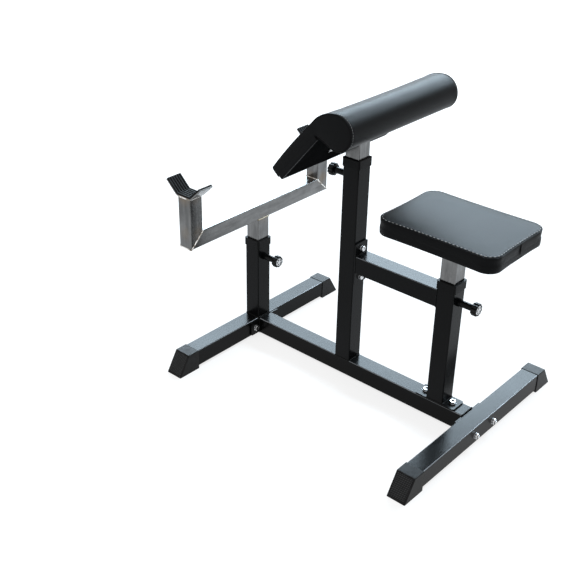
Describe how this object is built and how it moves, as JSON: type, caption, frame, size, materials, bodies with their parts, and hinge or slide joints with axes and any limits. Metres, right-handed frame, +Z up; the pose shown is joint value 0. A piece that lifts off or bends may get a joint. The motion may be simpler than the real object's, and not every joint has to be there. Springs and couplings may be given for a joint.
{
  "type": "preacher curl bench",
  "caption": "Preacher curl bench of black square tube with a sloped arm pad, a seat and a bar holder on telescopic posts locked by sprung pull pins.",
  "frame": {"origin": "on the floor under the middle of the bench's bounding box", "axes": "+X along the base rail towards the seat, +Y across the bench to the user's right, +Z up"},
  "size_m": [0.9622, 0.75, 0.908],
  "materials": {
    "black_paint": "semi-gloss powder coat",
    "raw_steel": "dull zinc with weld tint",
    "zinc": "bright zinc plate",
    "moulded_plastic": "moulded matt",
    "knob_plastic": "satin",
    "vinyl": "smooth black vinyl",
    "backing": "board under black backing",
    "ribbed_rubber": "ribbed matt"
  },
  "bodies": {
    "frame": {"base_rail": "black_paint", "rail_front_flange": "black_paint", "rail_rear_flange": "black_paint", "front_foot": "black_paint", "rear_foot": "black_paint", "front_upright": "black_paint", "main_upright": "black_paint", "seat_upright": "black_paint", "seat_base_plate": "black_paint", "seat_brace": "black_paint", "seat_brace_flange": "black_paint", "front_pin_barrel": "black_paint", "main_pin_barrel": "black_paint", "seat_pin_barrel": "black_paint", "front_left_foot_cap": "moulded_plastic", "front_right_foot_cap": "moulded_plastic", "rear_left_foot_cap": "moulded_plastic", "rear_right_foot_cap": "moulded_plastic", "front_sleeve": "moulded_plastic", "main_sleeve": "moulded_plastic", "seat_sleeve": "moulded_plastic", "frame_bolts": "zinc", "frame_nuts": "zinc", "frame_washers": "zinc", "seat_plate_bolts": "zinc", "seat_plate_weld_nuts": "zinc", "front_pin_spring": "zinc", "main_pin_spring": "zinc", "seat_pin_spring": "zinc"},
    "bar_holder": {"holder_post": "raw_steel", "holder_beam": "raw_steel", "holder_arm_left": "raw_steel", "holder_arm_right": "raw_steel", "cradle_left": "raw_steel", "cradle_right": "raw_steel", "cradle_lining_left": "ribbed_rubber", "cradle_lining_right": "ribbed_rubber"},
    "arm_rest": {"pad_post": "raw_steel", "pad_plate": "raw_steel", "pad_board": "backing", "arm_pad": "vinyl", "pad_screws": "zinc"},
    "seat": {"seat_post": "raw_steel", "seat_plate": "raw_steel", "seat_board": "backing", "seat_cushion": "vinyl", "seat_screws": "zinc"},
    "front_pull_pin": {"front_pin": "zinc", "front_knob": "knob_plastic", "front_knob_disc": "zinc"},
    "main_pull_pin": {"main_pin": "zinc", "main_knob": "knob_plastic", "main_knob_disc": "zinc"},
    "seat_pull_pin": {"seat_pin": "zinc", "seat_knob": "knob_plastic", "seat_knob_disc": "zinc"}
  },
  "joints": [
    {"name": "bar_holder_height", "type": "slide", "parent": "frame", "child": "bar_holder", "axis": [0, 0, 1], "range_m": [0, 0.125]},
    {"name": "arm_rest_height", "type": "slide", "parent": "frame", "child": "arm_rest", "axis": [0, 0, 1], "range_m": [0, 0.125]},
    {"name": "seat_height", "type": "slide", "parent": "frame", "child": "seat", "axis": [0, 0, 1], "range_m": [0, 0.125]},
    {"name": "front_pin_pull", "type": "slide", "parent": "frame", "child": "front_pull_pin", "axis": [1, 0, 0], "range_m": [-0.008, 0], "deforming": ["front_pin_spring"]},
    {"name": "main_pin_pull", "type": "slide", "parent": "frame", "child": "main_pull_pin", "axis": [-1, 0, 0], "range_m": [-0.008, 0], "deforming": ["main_pin_spring"]},
    {"name": "seat_pin_pull", "type": "slide", "parent": "frame", "child": "seat_pull_pin", "axis": [1, 0, 0], "range_m": [-0.008, 0], "deforming": ["seat_pin_spring"]}
  ]
}
